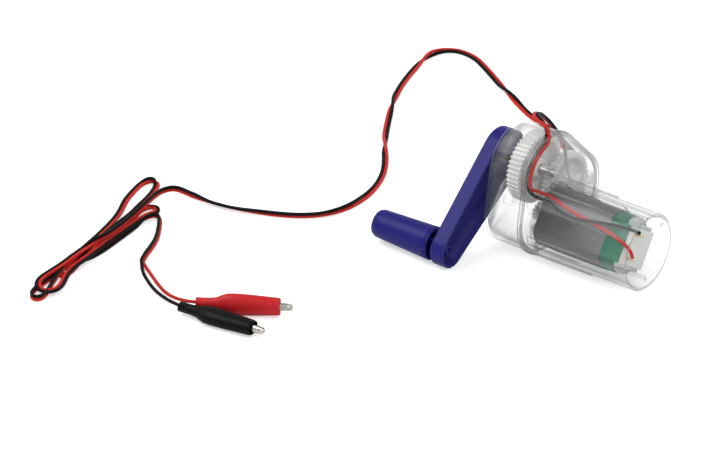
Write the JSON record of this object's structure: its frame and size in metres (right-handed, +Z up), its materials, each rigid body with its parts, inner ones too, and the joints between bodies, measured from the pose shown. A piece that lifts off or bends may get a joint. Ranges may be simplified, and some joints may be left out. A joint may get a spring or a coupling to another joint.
{
  "type": "hand crank generator",
  "caption": "Hand crank generator: clear gear case with motor tube, blue crank and knob, gears up to a small motor, and a twin lead ending in sleeved clips.",
  "frame": {"origin": "bottom centre of the generator without its lead; z = 0 is the table it stands on", "axes": "+X along the motor tube to its open end, away from the crank; +Y to the side where the case is widest; +Z up"},
  "size_m": [0.2235, 0.2824, 0.0619],
  "materials": {
    "clear_shell": "clear moulded plastic, glossy",
    "blue_plastic": "deep royal blue, satin moulded",
    "white_gear": "natural white moulded",
    "steel": "bright plated",
    "magnet": "dark ferrite and carbon",
    "copper_winding": "enamelled windings on a laminated core",
    "brass": "plain",
    "green_plastic": "sea green moulded",
    "red_soft": "soft, slightly glossy",
    "black_soft": "soft, slightly glossy",
    "nickel": "nickel plated sheet"
  },
  "bodies": {
    "generator": {"gear_cover": "clear_shell", "motor_housing": "clear_shell", "idler_axle": "steel", "motor_can": "steel", "motor_magnets": "magnet", "motor_end_bell": "green_plastic", "motor_brushes": "magnet", "motor_terminals": "brass", "motor_screws": "steel", "inner_wire_red": "red_soft", "inner_wire_black": "black_soft", "lead_cable": "black_soft", "lead_hank": "black_soft", "lead_tail": "black_soft", "tail_black": "black_soft", "tail_red": "red_soft", "black_clip_sleeve": "black_soft", "black_clip_lower_jaw": "nickel", "black_clip_pin": "nickel", "black_clip_spring": "nickel", "red_clip_sleeve": "red_soft", "red_clip_lower_jaw": "nickel", "red_clip_pin": "nickel", "red_clip_spring": "nickel"},
    "crank": {"crank_arm": "blue_plastic", "crank_axle": "steel", "crank_screw": "steel", "crank_washer": "steel", "knob_spindle": "blue_plastic", "knob_screw": "steel", "drive_gear": "white_gear", "axle_retainer": "steel"},
    "knob": {"crank_knob": "blue_plastic"},
    "idler": {"idler_gear": "white_gear"},
    "rotor": {"motor_shaft": "steel", "motor_armature": "copper_winding", "motor_commutator": "brass", "motor_pinion": "white_gear"},
    "black_jaw": {"black_clip_upper_jaw": "nickel"},
    "red_jaw": {"red_clip_upper_jaw": "nickel"}
  },
  "joints": [
    {"name": "crank_spin", "type": "hinge", "parent": "generator", "child": "crank", "pos_m": [0.0073, 0.00592, 0.0359], "axis": [1, 0, 0], "continuous": true},
    {"name": "knob_spin", "type": "hinge", "parent": "crank", "child": "knob", "pos_m": [-0.0277, -0.03262, 0.0078], "axis": [1, 0, 0], "continuous": true},
    {"name": "idler_spin", "type": "hinge", "parent": "generator", "child": "idler", "pos_m": [0.0073, 0.01903, 0.02327], "axis": [1, 0, 0], "continuous": true},
    {"name": "rotor_spin", "type": "hinge", "parent": "generator", "child": "rotor", "pos_m": [0.0073, 0.00252, 0.0173], "axis": [1, 0, 0], "continuous": true},
    {"name": "black_jaw_hinge", "type": "hinge", "parent": "generator", "child": "black_jaw", "pos_m": [-0.06338, -0.12986, 0.0036], "axis": [0, 0, -1], "range_deg": [0, 6], "stiffness_Nm_per_rad": 0.05},
    {"name": "red_jaw_hinge", "type": "hinge", "parent": "generator", "child": "red_jaw", "pos_m": [-0.06189, -0.11663, 0.00485], "axis": [0.5225, -0.8526, 0], "range_deg": [0, 6], "stiffness_Nm_per_rad": 0.05}
  ],
  "couplings": [
    {"joint": "idler_spin", "follows": "crank_spin", "ratio": -4.6},
    {"joint": "rotor_spin", "follows": "crank_spin", "ratio": 20.24}
  ]
}
